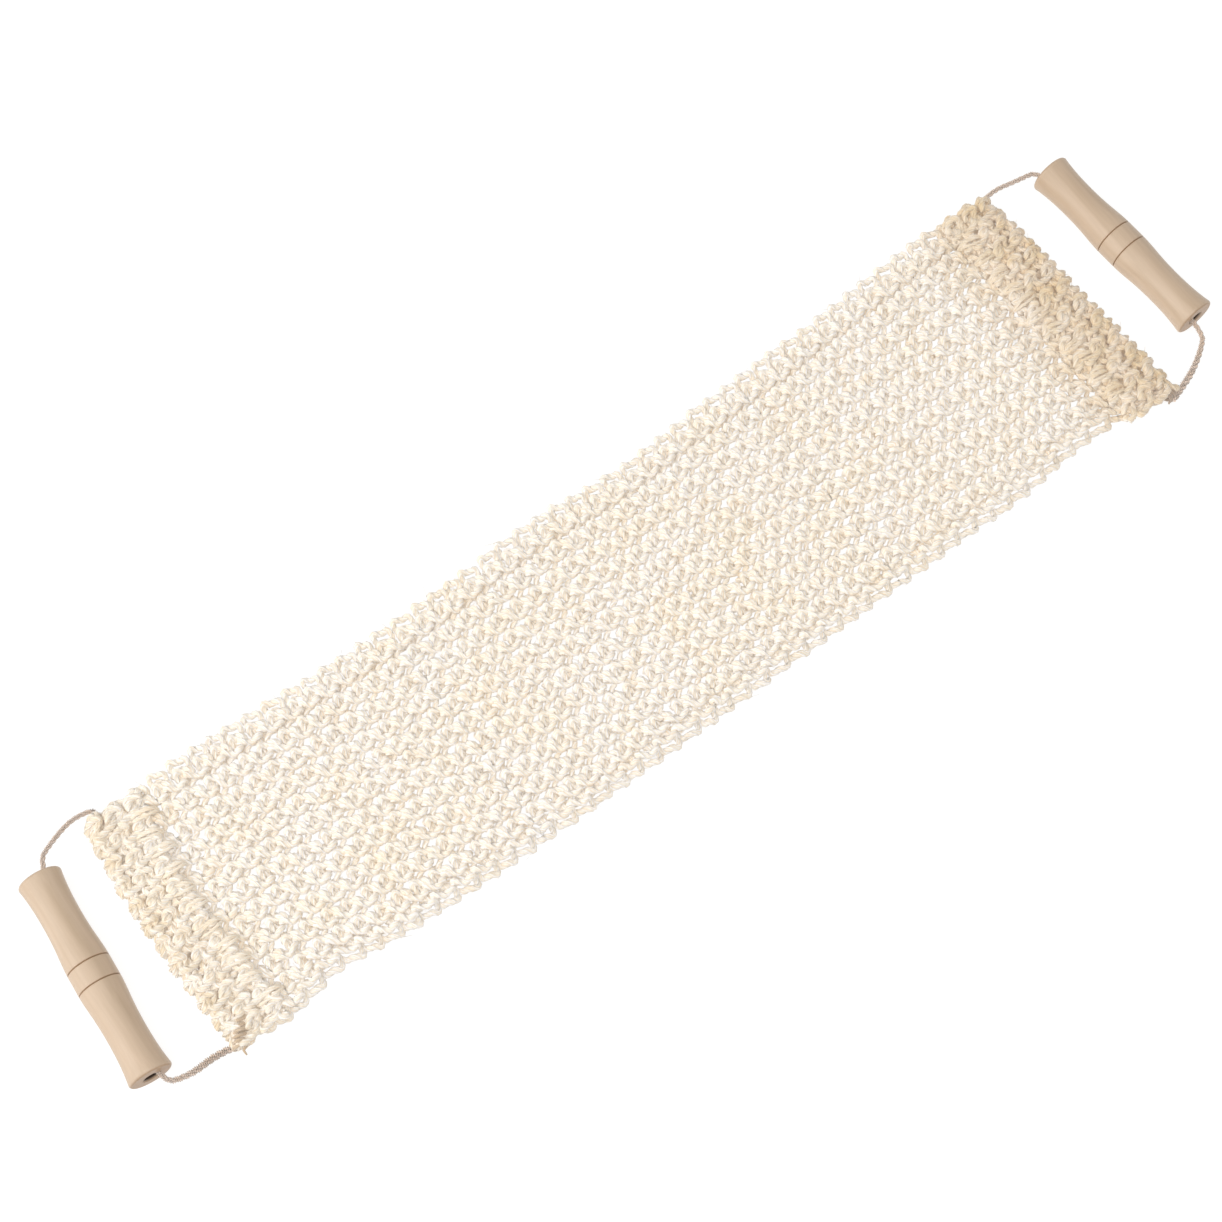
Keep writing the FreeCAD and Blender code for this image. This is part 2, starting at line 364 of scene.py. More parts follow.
# The bodies before and after the bend in a section, outwards from the middle, and its place.
BENDS = {
    "left_outer": ("strap_left_inner", "strap_left_outer", -1.5 * STRETCH),
    "left_inner": ("strap_centre", "strap_left_inner", -0.5 * STRETCH),
    "right_inner": ("strap_centre", "strap_right_inner", 0.5 * STRETCH),
    "right_outer": ("strap_right_inner", "strap_right_outer", 1.5 * STRETCH),
}

FIBRES_PER_POINT = 0.06
FIBRE_LENGTH = mm(3.0, 8.0)
FIBRE_LIFT = mm(0.3, 2.4)
FIBRE_CURL = 1.6
FIBRE_RADIUS = mm(0.16, 0.07)  # where it leaves the yarn, and at its tip
FIBRE_ROOT = 0.8  # how far out in the yarn it starts, as a share of the yarn's radius
FIBRE_POINTS = 6
FIBRE_LOWEST = mm(0.3)
FIBRE_MARGIN = 3  # points between a fibre and the nearest cut


def smooth_through(points, x):
    """Height at x of a smooth line through the points."""
    xs = np.array([p[0] for p in points])
    ys = np.array([p[1] for p in points])
    slopes = np.gradient(ys, xs)
    i = np.clip(np.searchsorted(xs, x) - 1, 0, len(xs) - 2)
    width = xs[i + 1] - xs[i]
    t = np.clip((x - xs[i]) / width, 0, 1)
    rise = (2 * t**3 - 3 * t**2 + 1) * ys[i] + (3 * t**2 - 2 * t**3) * ys[i + 1]
    return rise + width * ((t**3 - 2 * t**2 + t) * slopes[i] + (t**3 - t**2) * slopes[i + 1])


def loop(t, course, depth, height=LOOP_HEIGHT, bulge=1.0):
    """A course of garter stitch: distances along, across and out of the knit's middle
    surface at t stitches. Every second course leans the other way, so ridges stand
    on both faces."""
    phase = TAU * t
    face = 1 if course % 2 == 0 else -1
    along = STITCH * t + LOOP_NECK * np.sin(phase) + bulge * LOOP_BULGE * np.sin(2 * phase)
    across = height / 2 * (1 - np.cos(phase)) + LOOP_SLANT * np.sin(2 * phase)
    out = face * depth * (LOOP_WEAVE * np.cos(5 * phase) - LOOP_DEPTH * np.cos(phase))
    return along, across, out


def stitch_samples(count):
    """Places along a stitch, 0 to 1, closer together where the loop turns sharply."""
    fine = np.linspace(0, 1, FINE_SAMPLES)
    line = np.stack(loop(fine, course=0, depth=1.0), axis=-1)
    steps = np.diff(line, axis=0)
    headings = unit(steps)
    turns = np.arccos(np.clip((headings[1:] * headings[:-1]).sum(-1), -1, 1))
    cost = np.linalg.norm(steps, axis=1)
    cost[1:] += turns * YARN_RADIUS
    total = np.concatenate([[0], np.cumsum(cost)])
    return np.interp(np.arange(count) / count * total[-1], total, fine)


def fold_reach(side, y):
    """Distance from the strap's middle to the start of the fold, at y across."""
    if side < 0:
        return FOLD_REACH[side] - LEFT_FOLD_BOW * (y / BOW_REACH) ** 2
    return FOLD_REACH[side] - y * math.tan(RIGHT_FOLD_SLANT)


def laid_down(along, y, out, hem):
    """Wraps the knit onto its surface: flat on the floor, round the fold, and back. hem is 0
    over the strap and 1 in the hem."""
    side = np.where(along < 0, -1, 1)
    reach = np.where(side < 0, fold_reach(-1, y), fold_reach(1, y))
    nominal = np.where(side < 0, FOLD_REACH[-1], FOLD_REACH[1])
    beyond = np.maximum(np.abs(along) - nominal, 0)
    before = np.where(beyond > 0, reach, np.abs(along) * reach / nominal)
    angle = np.minimum(beyond / FOLD_RADIUS, math.pi)
    returned = np.maximum(beyond - math.pi * FOLD_RADIUS, 0)
    x = before + FOLD_RADIUS * np.sin(angle) - returned
    base = LAYER_HEIGHT + (HEM_LAYER_HEIGHT - LAYER_HEIGHT) * hem
    z = base + FOLD_RADIUS * (1 - np.cos(angle)) - HEM_DROP * ease(returned, 0, HEM_RETURN)
    rested = np.maximum(z + out * np.cos(angle), REST_HEIGHT)
    return np.stack([side * (x - out * np.sin(angle)), y, rested], axis=-1)


def towards_fold(place, distances):
    """0 until the first distance before the fold and 1 from the second, on both sides."""
    start, end = distances
    return ease(np.abs(place), FOLD_REACH[1] - start, FOLD_REACH[1] - end)


def course_line(rng, course, t, drift, jitter):
    """Centre line of one course. The first and the last finish the edges with low loops."""
    height = EDGE_HEIGHT if course in (-1, COURSES) else LOOP_HEIGHT
    start = min(max(course, 0) * COURSE_PITCH, KNIT_HEIGHT - height)
    own = [ripple(rng, COURSE_WAVES, count=6) for _ in range(3)]
    place = STITCH * t
    size = 1 + towards_fold(place, MESS_EASE)
    hem = towards_fold(place, HEM_EASE)
    depth = 1 - (1 - HEM_FLATNESS) * hem
    along, across, out = loop(t, course, depth, height, 1 + BULGE_JITTER * own[0](place, 0))
    across = across + start
    shift = DRIFT[0] * drift[0](along, across) + size * JITTER[0] * jitter[0](along, across)
    along = along + shift + size * COURSE_JITTER[0] * own[1](place, 0)
    share = (across + LOOP_LEAN * out) / KNIT_HEIGHT
    x = np.clip(along, LOWER_EDGE[0][0], LOWER_EDGE[-1][0])
    low, high = smooth_through(LOWER_EDGE, x), smooth_through(UPPER_EDGE, x)
    y = low + EDGE_MARGIN + share * (high - low - 2 * EDGE_MARGIN)
    held = np.clip(share * (1 - share) * DRIFT_HOLD, 0, 1)
    y = y + held * DRIFT[1] * drift[1](along, across)
    y = y + size * JITTER[1] * jitter[1](along, across)
    y = y + size * COURSE_JITTER[1] * own[2](place, 0)
    out = out + size * JITTER[2] * jitter[2](along, across)
    return laid_down(along, y, out, hem)


def knit_lines(rng):
    """Centre lines of all courses, (course, point, 3), and t for every point."""
    reach = {s: FOLD_REACH[s] + math.pi * FOLD_RADIUS + HEM_RETURN for s in SIDES}
    first, last = -math.floor(reach[-1] / STITCH), math.floor(reach[1] / STITCH)
    samples = stitch_samples(RINGS_PER_STITCH)
    t = np.append((np.arange(first, last)[:, None] + samples).ravel(), last)
    drift = [ripple(rng, DRIFT_WAVES) for _ in range(3)]  # no course uses the third
    jitter = [ripple(rng, JITTER_WAVES, count=14) for _ in range(3)]
    lines = [course_line(rng, course, t, drift, jitter) for course in range(-1, COURSES + 1)]
    return np.stack(lines), t


def yarn_radii(rng, lines, t):
    """Hand-spun yarn is a little thicker and thinner along its length. It is drawn thin in
    the legs of a loop and full at its head and foot."""
    uneven = ripple(rng, YARN_WAVES, count=8)
    along = np.arange(lines.shape[1]) * POINT_SPACING
    swell = [uneven(along, course * COURSE_SPACING) for course in range(len(lines))]
    drawn = 1 + LEG_TAPER * np.cos(2 * TAU * t)
    return YARN_RADIUS * (1 + YARN_UNEVENNESS * np.stack(swell)) * drawn


def section_cuts(t):
    """Each section's name, and the points of a course where it starts and ends."""
    inner = [int(np.argmin(np.abs(t - round(place / STITCH)))) for place in CUTS]
    cuts = [0, *inner, len(t) - 1]
    return list(zip(SECTIONS, cuts, cuts[1:]))


def knit_pieces(rng, lines, t, material):
    """The strap in four sections and the two hems, each in three interleaved pieces of every
    third course. Returns each piece's section, the length of its cloth, and the piece."""
    rings, along = Tubes().rings(lines, yarn_radii(rng, lines, t), YARN_PITCH)
    made = []
    for section, a, b in section_cuts(t):
        length = STITCH * (t[b] - t[a])
        for start, share in enumerate(SHARES):
            tubes = Tubes()
            courses = slice(start, None, len(SHARES))
            tubes.add_rings(rings[courses, a : b + 1], along[courses, a : b + 1])
            made.append((section, length, add_piece(f"knit_{section}_{share}", tubes, material)))
    return made


def stray_fibre(rng, start, tangent):
    """A thin curved line that leaves the yarn at start and runs off beside it."""
    sideways = unit(np.cross(tangent, rng.normal(size=3)))
    along = np.linspace(0, 1, FIBRE_POINTS)[:, None]
    length, lift = rng.uniform(*FIBRE_LENGTH), rng.uniform(*FIBRE_LIFT)
    line = start + sideways * YARN_RADIUS * FIBRE_ROOT
    line = line + rng.choice((-1, 1)) * tangent * length * along
    line = line + sideways * lift * along**FIBRE_CURL
    line[:, 2] = np.maximum(line[:, 2], FIBRE_LOWEST)
    return line


def add_stray_fibres(rng, lines, t, material):
    """Loose plant fibres that stand off the yarn, one piece for each section."""
    tangents = unit(np.gradient(lines, axis=1))
    for section, a, b in section_cuts(t):
        tubes = Tubes(sides=3, plies=1, ply_depth=0)
        for _ in range(int(FIBRES_PER_POINT * (b - a) * len(lines))):
            course = rng.integers(len(lines))
            point = rng.integers(a + FIBRE_MARGIN, b - FIBRE_MARGIN)
            line = stray_fibre(rng, lines[course, point], tangents[course, point])
            tubes.add(line, np.linspace(*FIBRE_RADIUS, len(line)), YARN_PITCH)
        piece = add_piece(f"stray_fibres_{section}", tubes, material)
        move_with_strap(piece, section)


def move_with_strap(piece, section):
    """Bakes a piece of a bending section into place, or lets it ride on the strap's end."""
    if section in BENDS:
        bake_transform(piece)
    else:
        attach(piece, "strap_" + section.split("_")[1] + "_outer")


def add_knit(rng, lines, t, material):
    """Adds the knit, says what each piece moves with, and hides the parts that its section
    stands for. Each third of a section names the whole section's cloth, so every cloth is
    declared three times, and passing the sheet's area test says nothing about its size."""
    for section, length, piece in knit_pieces(rng, lines, t, material):
        nodes, width = SECTIONS[section]
        move_with_strap(piece, section)
        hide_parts(*nodes)


# ---------------------------------------------------------------- cords

CORD_ROUTES = {
    -1: in_metres([
        (-288.7, -70.0, 5.0),
        (-280.9, 64.8, 5.0),
        (-296.0, 68.8, 7.6),
        (-310.0, 64.4, 10.0),
        (-326.4, 56.3, 11.4),
        (-333.8, -68.6, 11.4),
        (-318.0, -73.6, 9.3),
        (-303.0, -71.8, 7.3),
        (-292.4, -74.0, 5.8),
    ]),
    1: in_metres([
        (291.8, -72.5, 5.0),
        (283.1, 73.8, 5.0),
        (296.0, 76.6, 7.2),
        (309.0, 72.9, 9.6),
        (326.4, 69.6, 11.4),
        (333.9, -56.0, 11.4),
        (322.5, -65.8, 9.6),
        (308.5, -73.2, 7.6),
        (295.2, -77.0, 5.8),
    ]),
}
CORD_STRANDS = 3
CORD_STRAND_RADIUS = mm(0.86)
CORD_STRAND_REACH = mm(0.78)  # from the cord's middle to a strand's
CORD_STRAND_PITCH = mm(-2.5)  # a strand is twisted against the cord's own twist
CORD_PITCH = mm(10.0)
CORD_STEP = mm(0.8)
CORD_SWELL = 0.34  # the cord untwists and thickens towards its tied end
CORD_SWELL_REACH = mm(14, 42)  # how far from the tied end the swell starts to fade, and ends


def spline_line(route):
    """Points of the smooth line that a cord's route controls."""
    curve = bpy.data.curves.new("route", "CURVE")
    curve.dimensions = "3D"
    curve.resolution_u = 24
    spline = curve.splines.new("NURBS")
    spline.points.add(len(route) - 1)
    for point, place in zip(spline.points, route):
        point.co = (*place, 1)
    spline.order_u = 3
    spline.use_endpoint_u = True
    holder = bpy.data.objects.new("route", curve)
    mesh = bpy.data.meshes.new_from_object(holder)
    points = np.array([v.co for v in mesh.vertices], float)
    bpy.data.meshes.remove(mesh)
    bpy.data.curves.remove(curve)
    return points


def lengths_along(line):
    steps = np.linalg.norm(np.diff(line, axis=0), axis=1)
    return np.concatenate([[0], np.cumsum(steps)])


def twisted_cord(line, swell):
    """The cord's strands, wound round a line, thicker by the swell at each point."""
    across, other = (f[0] for f in carried_frames(line[None]))
    turn = lengths_along(line) * TAU / CORD_PITCH
    tubes = Tubes(sides=8, plies=2, ply_depth=0.1)
    for strand in range(CORD_STRANDS):
        angle = turn + TAU * strand / CORD_STRANDS
        offset = np.cos(angle)[:, None] * across + np.sin(angle)[:, None] * other
        offset = (CORD_STRAND_REACH * swell)[:, None] * offset
        tubes.add(line + offset, CORD_STRAND_RADIUS * swell, CORD_STRAND_PITCH)
    return tubes


def add_cord(side, material):
    name = SIDE_NAMES[side]
    line = resampled(spline_line(CORD_ROUTES[side]), CORD_STEP)
    along = lengths_along(line)
    swell = 1 + CORD_SWELL * (1 - ease(along[-1] - along, *CORD_SWELL_REACH))
    piece = add_piece(f"twisted_cord_{name}", twisted_cord(line, swell), material)
    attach(piece, f"loop_{name}")
    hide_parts(f"cord_{name}")


# ---------------------------------------------------------------- bindings of the cords' ends

WHIPPING_RADIUS = mm(0.95)
WHIPPING_TIP_RADIUS = mm(0.5)
WHIPPING_TIP_SAG = mm(1.5)
WHIPPING_TIP_STEP = mm(0.7)
POINTS_PER_TURN = 28
# Left: a lashing round the whole corner of the hem. Right: a small knot on the cord itself.
WHIPPINGS = {
    -1: {
        "tilt": 34.0,
        "turns": 5.3,
        "half_length": mm(6.6),
        "half_width": mm(3.3),
        "half_height": mm(5.7),
        "slant": mm(1.7),
        "tip": mm(4.5),
        "offset": mm(0.6, 1.8, 2.6),
    },
    1: {
        "tilt": 74.0,
        "turns": 3.3,
        "half_length": mm(2.6),
        "half_width": mm(2.5),
        "half_height": mm(2.7),
        "slant": mm(0.9),
        "tip": mm(1.5),
        "offset": mm(2.4, 1.6, 1.6),
    },
}


def whipping_turns(side, centre, axis, sideways):
    """A line of turns round the axis, no two of quite the same size."""
    shape = WHIPPINGS[side]
    t = np.linspace(0, 1, int(shape["turns"] * POINTS_PER_TURN))
    angle = TAU * shape["turns"] * t
    uneven = 1 + 0.10 * np.sin(angle * 0.5 + 1.1 * side) + 0.05 * np.sin(angle * 1.7)
    along = shape["half_length"] * (2 * t - 1) + shape["slant"] * np.cos(angle)
    around = np.outer(shape["half_width"] * uneven * np.cos(angle), sideways)
    around += np.outer(shape["half_height"] * uneven * np.sin(angle), (0, 0, 1))
    return centre + np.outer(along, axis) + around


def whipping_tip(start, length, axis, sideways):
    """The loose tip that hangs off the first turn."""
    middle = start - length * (0.5 * axis + 0.3 * sideways)
    tip = resampled(np.array([start, middle, start - length * axis]), WHIPPING_TIP_STEP)
    tip[:, 2] -= WHIPPING_TIP_SAG * np.linspace(0, 1, len(tip)) ** 2
    return tip


def add_binding(side, material):
    """Turns of yarn round the cord's two ends, with a loose tip below them."""
    name = SIDE_NAMES[side]
    shape = WHIPPINGS[side]
    low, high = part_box(f"cord_binding_{name}")
    centre = np.array((low + high) / 2) + shape["offset"]
    tilt = math.radians(shape["tilt"])
    axis = np.array((math.sin(tilt), math.cos(tilt), 0))
    sideways = np.array((math.cos(tilt), -math.sin(tilt), 0))
    turns = whipping_turns(side, centre, axis, sideways)
    tip = whipping_tip(turns[0], shape["tip"], axis, sideways)
    tubes = Tubes()
    tubes.add(turns, WHIPPING_RADIUS, YARN_PITCH)
    tubes.add(tip, np.linspace(WHIPPING_RADIUS, WHIPPING_TIP_RADIUS, len(tip)), YARN_PITCH)
    piece = add_piece(f"whipping_{name}", tubes, material)
    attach(piece, f"loop_{name}")
    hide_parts(f"cord_binding_{name}")


# ---------------------------------------------------------------- sewn edge of the hems

SEWING_RADIUS = mm(0.95)
SEWING_STITCHES = 11
SEWING_REACH = mm(21.5)  # from the fold to the middle of a stitch
SEWING_HALF_LENGTH = mm(7.2)
SEWING_HALF_WIDTH = mm(1.9)
SEWING_TOP = mm(11.4)
SEWING_DIVE = mm(5.2)  # how far a stitch's ends go down into the hem
SEWING_TURNS = 1.5  # an eye of two strands, and a third that runs inside it
SEWING_INSIDE = 0.45  # how much nearer the stitch's middle the third strand runs
SEWING_INSIDE_TURNS = (0.9, 1.25)  # turns at which the yarn starts to run inside, and does
SEWING_POINTS = 68
SEWING_STEP = mm(0.9)
# How uneven the stitches are: place along and across, length, width, and turn in radians.
SEWING_SHIFT = mm(1.5, 1.4)
SEWING_LENGTHS = (0.85, 1.1)
SEWING_WIDTHS = (0.85, 1.2)
SEWING_LEANS = (-0.30, 0.10)


def sewing_stitch(rng, side, y):
    """One long eye-shaped stitch at y across, of three strands."""
    angle = np.linspace(0, TAU * SEWING_TURNS, SEWING_POINTS)
    wander = 1 - SEWING_INSIDE * ease(angle / TAU, *SEWING_INSIDE_TURNS)
    y = y + rng.uniform(-SEWING_SHIFT[1], SEWING_SHIFT[1])
    x = side * (fold_reach(side, y) - SEWING_REACH)
    x = x + rng.uniform(-SEWING_SHIFT[0], SEWING_SHIFT[0])
    u = SEWING_HALF_LENGTH * rng.uniform(*SEWING_LENGTHS) * np.cos(angle)
    v = SEWING_HALF_WIDTH * rng.uniform(*SEWING_WIDTHS) * wander * np.sin(angle)
    lean = rng.uniform(*SEWING_LEANS)
    z = SEWING_TOP - SEWING_DIVE * np.cos(angle) ** 4
    across = y + u * math.sin(lean) + v * math.cos(lean)
    line = np.stack([x + u * math.cos(lean) - v * math.sin(lean), across, z], -1)
    return resampled(line, SEWING_STEP)


def add_sewing(side, rng, material):
    """A row of stitches across the hem, which hold it down on the strap."""
    name = SIDE_NAMES[side]
    low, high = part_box(f"hem_stitches_{name}")
    spacing = (high.y - low.y) / SEWING_STITCHES
    tubes = Tubes()
    for i in range(SEWING_STITCHES):
        line = sewing_stitch(rng, side, low.y + spacing * (i + 0.5))
        tubes.add(line, SEWING_RADIUS, YARN_PITCH)
    piece = add_piece(f"sewing_yarn_{name}", tubes, material)
    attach(piece, f"strap_{name}_outer")
    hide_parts(f"hem_stitches_{name}")


# ---------------------------------------------------------------- shader nodes

WHITE = (1, 1, 1)


def grey(value):
    return (value, value, value)


def new_material(name):
    material = bpy.data.materials.new(name)
    material.use_nodes = True
    tree = material.node_tree
    return material, tree, tree.nodes["Principled BSDF"]


def node(tree, kind, **settings):
    made = tree.nodes.new(kind)
    for key, value in settings.items():
        setattr(made, key, value)
    return made


def noise(tree, vector, scale, detail=3.0, roughness=0.55):
    made = node(tree, "ShaderNodeTexNoise")
    made.inputs["Scale"].default_value = scale
    made.inputs["Detail"].default_value = detail
    made.inputs["Roughness"].default_value = roughness
    tree.links.new(vector, made.inputs["Vector"])
    return made.outputs["Fac"]


def ramp(tree, factor, stops):
    """A colour for each place in stops, smooth between them."""
    made = node(tree, "ShaderNodeValToRGB")
    elements = made.color_ramp.elements
    while len(elements) < len(stops):
        elements.new(0.5)
    for element, (place, colour) in zip(elements, stops):
        element.position = place
        element.color = (*colour, 1)
    tree.links.new(factor, made.inputs["Fac"])
    return made.outputs["Color"]


def multiplied(tree, a, b):
    made = node(tree, "ShaderNodeMix", data_type="RGBA", blend_type="MULTIPLY")
    made.inputs["Factor"].default_value = 1.0
    tree.links.new(a, made.inputs["A"])
    tree.links.new(b, made.inputs["B"])
    return made.outputs["Result"]


def tinted(tree, colour, factor, stops):
    """The colour times a ramp of the factor."""
    return multiplied(tree, colour, ramp(tree, factor, stops))


def maths(tree, operation, a, b=0.0):
    made = node(tree, "ShaderNodeMath", operation=operation)
    for socket, value in zip(made.inputs, (a, b)):
        if isinstance(value, (int, float)):
            socket.default_value = value
        else:
            tree.links.new(value, socket)
    return made.outputs["Value"]


def vector_maths(tree, operation, a, b=(0, 0, 0)):
    made = node(tree, "ShaderNodeVectorMath", operation=operation)
    tree.links.new(a, made.inputs[0])
    made.inputs[1].default_value = b
    return made.outputs["Vector" if operation == "SUBTRACT" else "Value"]


def bump(tree, shader, height, strength, distance):
    made = node(tree, "ShaderNodeBump")
    made.inputs["Strength"].default_value = strength
    made.inputs["Distance"].default_value = distance
    tree.links.new(height, made.inputs["Height"])
    tree.links.new(made.outputs["Normal"], shader.inputs["Normal"])


def object_place(tree):
    return node(tree, "ShaderNodeTexCoord").outputs["Object"]


def separated(tree, vector):
    """The X and Y parts of a vector."""
    parts = node(tree, "ShaderNodeSeparateXYZ")
    tree.links.new(vector, parts.inputs["Vector"])
    return parts.outputs["X"], parts.outputs["Y"]


def stretched(tree, place, scale, turn=0.0):
    """The place scaled by different amounts along the three axes, turned about Z."""
    made = node(tree, "ShaderNodeMapping")
    made.inputs["Scale"].default_value = scale
    made.inputs["Rotation"].default_value = (0, 0, turn)
    tree.links.new(place, made.inputs["Vector"])
    return made.outputs["Vector"]


# ---------------------------------------------------------------- yarn

STREAK_STRETCH = 60
STREAK_SCALE = 4.0
PATCH_SCALE = 26.0
BLOTCH_SCALE = 120.0
STRAND_WANDER = 0.22
FIBRE_BUMP = 0.0004
# A painted glow: the yarn's emission stands for the light that pale fibres let through.
PAINTED_FIBRE_GLOW_COLOUR = (1.0, 0.88, 0.76)
PAINTED_FIBRE_GLOW = 0.14  # strength of that painted glow, which lifts and warms the shadows

HEM_SLANT = 0.063  # the painted shade at the strap's ends starts along a line that slants by this
# Painted shade: from start to end along the strap, each side's hem turns to patches of two
# duller shades, darker and yellower on the right, where less light falls, and golden on the left.
PAINTED_SHADE_ENDS = [
    {"side": 1, "start": 0.238, "end": 0.281, "scale": 75.0,
     "shades": [(0.845, 0.77, 0.675), (0.765, 0.635, 0.435)]},
    {"side": -1, "start": 0.270, "end": 0.293, "scale": 150.0,
     "shades": [(1.0, 0.985, 0.965), (0.865, 0.785, 0.64)]},
]


def fibre_space(tree, along, turns):
    """Coordinates in which a noise runs in long streaks along the yarn's plies."""
    angle = maths(tree, "MULTIPLY", turns, TAU)
    place = node(tree, "ShaderNodeCombineXYZ")
    tree.links.new(maths(tree, "COSINE", angle), place.inputs["X"])
    tree.links.new(maths(tree, "SINE", angle), place.inputs["Y"])
    tree.links.new(maths(tree, "MULTIPLY", along, STREAK_STRETCH), place.inputs["Z"])
    return place.outputs["Vector"]


def ridges(tree, turns, count, wave):
    """count ridges round the yarn, 0 between them and 1 on top of each."""
    angle = maths(tree, "MULTIPLY", turns, math.pi * count)
    return maths(tree, "ABSOLUTE", maths(tree, wave, angle))


def painted_end_shade(tree, side, start, end, scale, shades):
    """White over the strap, and painted shade in that side's hem: patches of two duller shades.
    """
    place = object_place(tree)
    x, y = separated(tree, place)
    slanted = maths(tree, "ADD", x, maths(tree, "MULTIPLY", y, HEM_SLANT))
    reach = maths(tree, "MULTIPLY", slanted, side)
    amount = ramp(tree, reach, [(start, grey(0)), (end, grey(1))])
    patches = ramp(tree, noise(tree, place, scale, 3.0), [(0.40, shades[0]), (0.60, shades[1])])
    mixed = node(tree, "ShaderNodeMix", data_type="RGBA")
    tree.links.new(amount, mixed.inputs["Factor"])
    mixed.inputs["A"].default_value = (1, 1, 1, 1)
    tree.links.new(patches, mixed.inputs["B"])
    return mixed.outputs["Result"]


def yarn_material(name, light, dark, patch, strands=6, plies=3, painted_groove_shade=(0.86, 0.77, 0.64),
                  blotch=(1.0, 0.96, 0.90), painted_valley_shade=(0.92, 0.885, 0.80), painted_end_shades=()):
    """Coarse plant fibre: fine strands with tan grooves, streaks along them, warm valleys
    between the plies, yellow blotches the size of a stitch, and patches over many stitches.
    The tan grooves and the warm valleys are painted shade, and so are the duller hem patches."""
    material, tree, shader = new_material(name)
    uv = node(tree, "ShaderNodeUVMap", uv_map="yarn")
    along, turns = separated(tree, uv.outputs["UV"])
    streaks = noise(tree, fibre_space(tree, along, turns), STREAK_SCALE, 4.0, 0.65)
    wandering = maths(tree, "ADD", turns, maths(tree, "MULTIPLY", streaks, STRAND_WANDER))
    strand_tops = ridges(tree, wandering, strands, "SINE")
    ply_tops = ridges(tree, turns, plies, "COSINE")
    place = object_place(tree)
    patches = noise(tree, place, PATCH_SCALE, 2.0)
    blotches = noise(tree, place, BLOTCH_SCALE, 2.0)
    colour = ramp(tree, streaks, [(0.30, dark), (0.62, light)])
    colour = tinted(tree, colour, patches, [(0.42, WHITE), (0.72, patch)])
    colour = tinted(tree, colour, blotches, [(0.46, WHITE), (0.66, blotch)])
    # painted shade: tan between the fine strands, where shade falls
    colour = tinted(tree, colour, strand_tops, [(0.05, painted_groove_shade), (0.55, WHITE)])
    # painted shade: warm valleys between the plies
    colour = tinted(tree, colour, ply_tops, [(0.10, painted_valley_shade), (0.50, WHITE)])
    # painted shade over the hems
    for shade in painted_end_shades:
        colour = multiplied(tree, colour, painted_end_shade(tree, **shade))
    tree.links.new(colour, shader.inputs["Base Color"])
    rough = ramp(tree, streaks, [(0.3, grey(0.68)), (0.7, grey(0.92))])
    tree.links.new(rough, shader.inputs["Roughness"])
    shader.inputs["Sheen Weight"].default_value = 0.6
    shader.inputs["Sheen Roughness"].default_value = 0.5
    shader.inputs["Specular IOR Level"].default_value = 0.3
    # painted glow on the yarn, which lifts its shadows
    shader.inputs["Emission Color"].default_value = (*PAINTED_FIBRE_GLOW_COLOUR, 1)
    shader.inputs["Emission Strength"].default_value = PAINTED_FIBRE_GLOW
    height = maths(tree, "ADD", maths(tree, "MULTIPLY", strand_tops, 0.6), streaks)
    bump(tree, shader, height, 0.6, FIBRE_BUMP)
    return material


def cream_knit():
    return yarn_material(
        "cream_knit_yarn",
        light=(0.985, 0.975, 0.972),
        dark=(0.94, 0.902, 0.85),
        patch=(1.0, 0.975, 0.915),
        painted_end_shades=PAINTED_SHADE_ENDS,
    )


def cream_sewing():
    return yarn_material(
        "cream_sewing_yarn",
        light=(0.975, 0.94, 0.875),
        dark=(0.92, 0.855, 0.76),
        patch=(1.0, 0.96, 0.88),
        painted_end_shades=PAINTED_SHADE_ENDS,
    )


def tan_binding():
    return yarn_material(
        "tan_binding_yarn",
        light=(0.67, 0.53, 0.38),
        dark=(0.43, 0.32, 0.21),
        patch=(1.0, 0.95, 0.85),
    )


def brown_binding():
    return yarn_material(
        "brown_binding_yarn",
        light=(0.42, 0.32, 0.25),
        dark=(0.26, 0.19, 0.14),
        patch=(1.0, 0.95, 0.9),
    )


def taupe_cord():
    return yarn_material(
        "taupe_cord",
        light=(0.90, 0.77, 0.70),
        dark=(0.67, 0.53, 0.46),
        patch=(1.0, 0.96, 0.92),
        strands=4,
        plies=2,
    )


# ---------------------------------------------------------------- turned wood

HANDLE_LEAN = math.radians(3.4)
HANDLE_HALF_LENGTH = mm(57.5)
HANDLE_END_RADIUS = mm(11.4)
GRAIN_SCALE = (260, 9, 260)
TONE_SCALE = (45, 6, 45)
WOOD_DARK = (0.555, 0.425, 0.305)
WOOD_LIGHT = (0.645, 0.505, 0.38)
WOOD_TONE = (0.95, 0.93, 0.91)
WOOD_BUMP = 0.0002
SCORED = (0.66, 0.56, 0.47)
# end faces: partly end grain, partly painted shade
END_GRAIN_AND_SHADE = (0.74, 0.64, 0.54)
# painted shadow inside the bore, near the axis of the end face
PAINTED_BORE_SHADOW = (0.10, 0.07, 0.05)
# Shares of the half length: the dark groove beside the middle band, then the end face, darkened
# partly as end grain and partly as painted shade.
MARKS_ALONG = [
    (0.095, WHITE), (0.100, SCORED), (0.106, SCORED), (0.111, WHITE), (0.985, WHITE),
    (0.996, END_GRAIN_AND_SHADE),
]
MARKS_OUTWARDS = [(0.34, PAINTED_BORE_SHADOW), (0.40, WHITE)]


